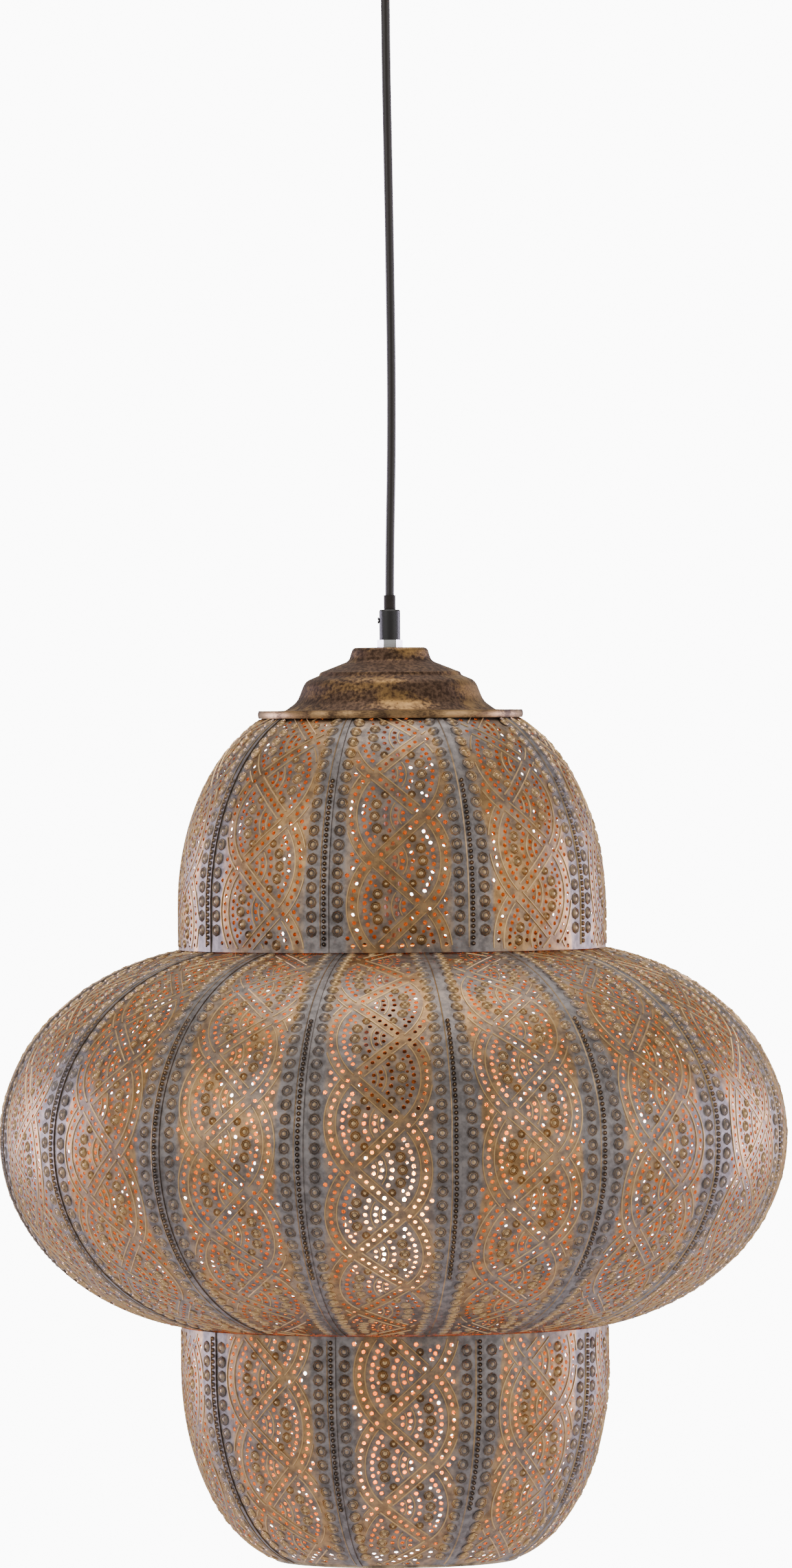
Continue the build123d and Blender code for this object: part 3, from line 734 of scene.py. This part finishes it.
    corners = []
    steps = max(20, int(lengths[-1] / 0.004))
    heights = [lengths[-1] * step / steps for step in range(steps + 1)]
    sides = [
        (
            strip_centre - radius_at(y) * half_pitch,
            strip_centre + radius_at(y) * (half_pitch + lap_angle[kind]),
            y,
        )
        for y in heights
    ]
    corners += [(right, y) for _, right, y in sides]
    left, right, top = sides[-1]
    corners += [(right + (left - right) * step / 24, top) for step in range(1, 24)]
    corners += [(left, y) for left, _, y in reversed(sides)]
    left, right, foot = sides[0]
    corners += [(left + (right - left) * step / 24, foot) for step in range(1, 24)]

    spots, edges, marks, sizes = [], [], [], []
    lines = [(corners, OUTLINE)] + [(run, RIDGE) for run in ridges]
    for line, mark in lines:
        begin = len(spots)
        spots += [(x, y, 0) for x, y in line]
        marks += [mark] * len(line)
        sizes += [0.0] * len(line)
        edges += [(begin + step, begin + step + 1) for step in range(len(line) - 1)]
    edges.append((len(corners) - 1, 0))
    for group, mark in ((holes, HOLE), (studs, STUD)):
        spots += [(x, y, 0) for x, y, _ in group]
        marks += [mark] * len(group)
        sizes += [size for _, _, size in group]
    mesh = bpy.data.meshes.new("layout")
    mesh.from_pydata(spots, edges, [])
    mesh.attributes.new("mark", "INT", "POINT").data.foreach_set("value", marks)
    mesh.attributes.new("size", "FLOAT", "POINT").data.foreach_set("value", sizes)
    return mesh


# One round stud: a domed boss in two raised rings, struck from behind.
stud_profile = [
    (0.0010, 0.0008),
    (0.0022, 0.0001),
    (0.0027, 0.0007),
    (0.0034, 0.0001),
    (0.0039, 0.00065),
    (stud_radius, -0.0001),
]
shape = bmesh.new()
around = 8
boss = shape.verts.new((0, 0, 0.0010))
rings = [
    [
        shape.verts.new((r * math.cos(turn), r * math.sin(turn), height))
        for turn in (math.tau * step / around for step in range(around))
    ]
    for r, height in stud_profile
]
for step in range(around):
    after = (step + 1) % around
    shape.faces.new((boss, rings[0][step], rings[0][after]))
    for inner, outer in zip(rings, rings[1:]):
        shape.faces.new((inner[step], outer[step], outer[after], inner[after]))
shape.faces.new(reversed(rings[-1]))
mesh = bpy.data.meshes.new("stud")
shape.to_mesh(mesh)
shape.free()
stud_object = link_object("stud", mesh)

# The tree: fills the pierced outline, gives it thickness, adds ridges and studs, and bends it all.
tree = bpy.data.node_groups.new("stamped_strip", "GeometryNodeTree")
for name, kind in (
    ("Layout", "NodeSocketGeometry"),
    ("Stud", "NodeSocketObject"),
    ("Meridian", "NodeSocketObject"),
    ("Sheet thickness", "NodeSocketFloat"),
    ("Ridge radius", "NodeSocketFloat"),
    ("Strip angle", "NodeSocketFloat"),
    ("Half pitch", "NodeSocketFloat"),
    ("Strip centre", "NodeSocketFloat"),
    ("Lap lift", "NodeSocketFloat"),
):
    tree.interface.new_socket(name, in_out="INPUT", socket_type=kind)
tree.interface.new_socket("Geometry", in_out="OUTPUT", socket_type="NodeSocketGeometry")
entry = tree.nodes.new("NodeGroupInput")
pen = Link(tree)


def given(name):
    return Link(tree, entry.outputs[name])


def named(name, kind):
    return pen.node("GeometryNodeInputNamedAttribute", {"data_type": kind}, {"Name": name})


def marked(mark):
    """The points of the layout that carry this mark."""
    chosen = pen.node(
        "FunctionNodeCompare", {"data_type": "INT", "operation": "EQUAL"}, {2: named("mark", "INT"), 3: mark}
    )
    return pen.node("GeometryNodeSeparateGeometry", {"domain": "POINT"}, {0: given("Layout"), 1: chosen})


def joined(*parts):
    """All these shapes as one."""
    join = tree.nodes.new("GeometryNodeJoinGeometry")
    for part in parts:
        tree.links.new(part.socket, join.inputs[0])
    return Link(tree, join.outputs[0])


def with_bead(part, value):
    """Marks how high each point stands: up to 1 on raised work, 0 outside, -1 on the inner face."""
    inputs = {"Geometry": part, "Name": "bead", "Value": value}
    return pen.node("GeometryNodeStoreNamedAttribute", {"data_type": "FLOAT", "domain": "POINT"}, inputs)


def spread(points, instance):
    """A copy of the instance on every point, as wide as the point's size says."""
    sizes = {0: named("size", "FLOAT"), 1: named("size", "FLOAT"), 2: 1.0}
    inputs = {"Points": points, "Instance": instance, "Scale": pen.node("ShaderNodeCombineXYZ", {}, sizes)}
    placed = pen.node("GeometryNodeInstanceOnPoints", {}, inputs)
    return pen.node("GeometryNodeRealizeInstances", {}, {0: placed})


punch = pen.node("GeometryNodeCurvePrimitiveCircle", {}, {"Resolution": 8, "Radius": 1.0})
outline = pen.node("GeometryNodeMeshToCurve", {}, {0: marked(OUTLINE)})
cut = joined(outline, spread(marked(HOLE), punch))
face = pen.node("GeometryNodeFillCurve", {}, {"Curve": cut})
down = pen.node("ShaderNodeCombineXYZ", {}, {2: given("Sheet thickness") * -1.0})
up = pen.node("ShaderNodeCombineXYZ", {}, {2: given("Sheet thickness")})
inside = pen.node("GeometryNodeSetPosition", {}, {"Geometry": face, "Offset": down})
raised = pen.node(
    "GeometryNodeExtrudeMesh",
    {"mode": "FACES"},
    {"Mesh": inside, "Offset": up, "Offset Scale": 1.0, "Individual": False},
)
body = joined(raised, pen.node("GeometryNodeFlipFaces", {}, {"Mesh": inside}))
body = pen.node("GeometryNodeMergeByDistance", {}, {"Geometry": body, "Distance": 0.00001})
wire = pen.node("GeometryNodeCurvePrimitiveCircle", {}, {"Resolution": 6, "Radius": given("Ridge radius")})
lines = pen.node("GeometryNodeMeshToCurve", {}, {0: marked(RIDGE)})
lines = pen.node(
    "GeometryNodeCurveToMesh", {}, {"Curve": lines, "Profile Curve": wire, "Fill Caps": True}
)
stud_shape = pen.node(
    "GeometryNodeObjectInfo", {"transform_space": "ORIGINAL"}, {"Object": given("Stud")}, "Geometry"
)
depth = pen.node("ShaderNodeSeparateXYZ", {}, {0: pen.node("GeometryNodeInputPosition")}, 2)
side_mark = depth / given("Sheet thickness")
studs = with_bead(spread(marked(STUD), stud_shape), depth.smooth(0.0001, 0.0007))
flat = joined(with_bead(body, side_mark), with_bead(lines, 1.0), studs)

place = pen.node("GeometryNodeInputPosition")
x, y, z = (pen.node("ShaderNodeSeparateXYZ", {}, {0: place}, axis) for axis in range(3))
chart = pen.node("ShaderNodeCombineXYZ", {}, {0: x * 10.0, 1: y * 10.0})
flat = pen.node(
    "GeometryNodeStoreNamedAttribute",
    {"data_type": "FLOAT2", "domain": "CORNER"},
    {"Geometry": flat, "Name": "strip", "Value": chart},
)
curve_shape = pen.node(
    "GeometryNodeObjectInfo", {"transform_space": "ORIGINAL"}, {"Object": given("Meridian")}, "Geometry"
)
sample = tree.nodes.new("GeometryNodeSampleCurve")
sample.mode = "LENGTH"
sample.use_all_curves = True
tree.links.new(curve_shape.socket, sample.inputs["Curves"])
tree.links.new(y.socket, sample.inputs["Length"])
spot = Link(tree, sample.outputs["Position"])
heading = Link(tree, sample.outputs["Tangent"])
radius = pen.node("ShaderNodeSeparateXYZ", {}, {0: spot}, 0)
height = pen.node("ShaderNodeSeparateXYZ", {}, {0: spot}, 2)
lean = pen.node("ShaderNodeSeparateXYZ", {}, {0: heading}, 0)
climb = pen.node("ShaderNodeSeparateXYZ", {}, {0: heading}, 2)
seam = given("Strip centre") + radius * given("Half pitch")
past = x - seam
other_seam = given("Strip centre") - radius * given("Half pitch")
flat = pen.node(
    "GeometryNodeStoreNamedAttribute",
    {"data_type": "FLOAT", "domain": "POINT"},
    {"Geometry": flat, "Name": "inset", "Value": pen.maths("MINIMUM", x - other_seam, seam - x)},
)
stand = z + past.smooth(-0.001, 0.0) * given("Lap lift")
outward = radius + climb * stand
turned = given("Strip angle") + (x - given("Strip centre")) / radius
bent = pen.node(
    "ShaderNodeCombineXYZ",
    {},
    {
        0: outward * pen.maths("COSINE", turned),
        1: outward * pen.maths("SINE", turned),
        2: height - lean * stand,
    },
)
shaped = pen.node("GeometryNodeSetPosition", {}, {"Geometry": flat, "Position": bent})
shaped = pen.node(
    "GeometryNodeSetShadeSmooth", {"domain": "FACE"}, {"Geometry": shaped, "Shade Smooth": True}
)
fold_angle = pen.node("GeometryNodeInputMeshEdgeAngle")
sharper = {"data_type": "FLOAT", "operation": "GREATER_THAN"}
sharp = pen.node("FunctionNodeCompare", sharper, {0: fold_angle, 1: corner_angle})
shaped = pen.node(
    "GeometryNodeSetShadeSmooth",
    {"domain": "EDGE"},
    {"Geometry": shaped, "Selection": sharp, "Shade Smooth": False},
)
shaped = pen.node("GeometryNodeRealizeInstances", {}, {0: shaped})
shaped = pen.node("GeometryNodeSetMaterial", {}, {"Geometry": shaped, "Material": patina})
tree.links.new(shaped.socket, tree.nodes.new("NodeGroupOutput").inputs[0])
socket_id = {item.name: item.identifier for item in tree.interface.items_tree if item.in_out == "INPUT"}

for kind, count in strip_count.items():
    route = meridian_of(kind)
    curve = bpy.data.curves.new(f"{kind}_meridian", "CURVE")
    curve.dimensions = "3D"
    spline = curve.splines.new("POLY")
    spline.points.add(len(route) - 1)
    for point, (radius_here, height_here) in zip(spline.points, route):
        point.co = (radius_here, 0, height_here, 1)
    guide = link_object(f"{kind}_meridian", curve)
    pitch = math.tau / count
    for number in range(count):
        node = f"{kind}_strip_{number + 1:02d}" if kind == "belly" else f"{kind}_strip_{number + 1}"
        phase = (number * strip_shift % 1) * period
        strip = link_object(f"pierced_{kind}_{number + 1:02d}", layout_of(kind, route, phase))
        shaper = strip.modifiers.new("stamped_strip", "NODES")
        shaper.node_group = tree
        for name, value in (
            ("Stud", stud_object),
            ("Meridian", guide),
            ("Sheet thickness", sheet),
            ("Ridge radius", ridge_radius),
            ("Strip angle", math.radians(first_edge[kind]) + (number + 0.5) * pitch),
            ("Half pitch", pitch / 2),
            ("Strip centre", strip_centre),
            ("Lap lift", lap_lift),
        ):
            shaper[socket_id[name]] = value
        bpy.context.view_layer.update()
        finished = strip.evaluated_get(bpy.context.evaluated_depsgraph_get())
        mesh = bpy.data.meshes.new_from_object(finished)
        strip.modifiers.clear()
        strip.data = mesh
        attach(strip, "lantern")
        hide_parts(node)
    bpy.data.objects.remove(guide)
bpy.data.objects.remove(stud_object)

# ---------------------------------------------------------------- floor, world and lights
# A pale floor well below and a white surround. Soft lights stand at the left, the right and above,
# and two cooler ones behind give the edges of the lantern their pale lavender line.
floor_radius, floor_level, floor_sides = 3.0, -1.75, 96
mesh = bpy.data.meshes.new("floor")
turns = [math.tau * step / floor_sides for step in range(floor_sides)]
rim = [(floor_radius * math.cos(turn), floor_radius * math.sin(turn), floor_level) for turn in turns]
mesh.from_pydata(rim, [], [tuple(range(floor_sides))])
floor = link_object("floor", mesh)
floor_finish, shader, pen = finish_with("floor_finish", roughness=0.8)
feed(shader, pen, Base_Color=mix(pen, noise(pen, 3), (0.78, 0.78, 0.78), (0.82, 0.82, 0.82)))
mesh.materials.append(floor_finish)

surround_seen, surround_light = 10.5, 0.47
world = bpy.data.worlds.new("studio")
bpy.context.scene.world = world
world.use_nodes = True
pen = Link(world.node_tree)
seen = pen.node("ShaderNodeLightPath", output="Is Camera Ray")
background = world.node_tree.nodes["Background"]
background.inputs["Color"].default_value = (1, 1, 1, 1)
strength = seen * surround_seen + surround_light
world.node_tree.links.new(strength.socket, background.inputs["Strength"])

lit_centre = Vector((0, 0, -0.75))
for name, place, power, size, tint in (
    ("left_light", (-2.2, -2.0, 0.4), 26, 2.4, (1.0, 1.0, 1.0)),
    ("right_light", (2.4, -1.4, -0.2), 18, 2.2, (1.0, 1.0, 1.0)),
    ("top_light", (0, 0.4, 1.8), 32, 1.8, (1.0, 0.98, 0.96)),
    ("left_rim", (-2.4, 1.3, -0.7), 48, 1.2, (0.84, 0.77, 1.0)),
    ("right_rim", (2.4, 1.3, -0.7), 48, 1.2, (0.84, 0.77, 1.0)),
):
    lamp = bpy.data.lights.new(name, "AREA")
    lamp.energy = power
    lamp.size = size
    lamp.color = tint
    holder = link_object(name, lamp)
    holder.location = place
    holder.rotation_euler = (lit_centre - Vector(place)).to_track_quat("-Z", "Y").to_euler()
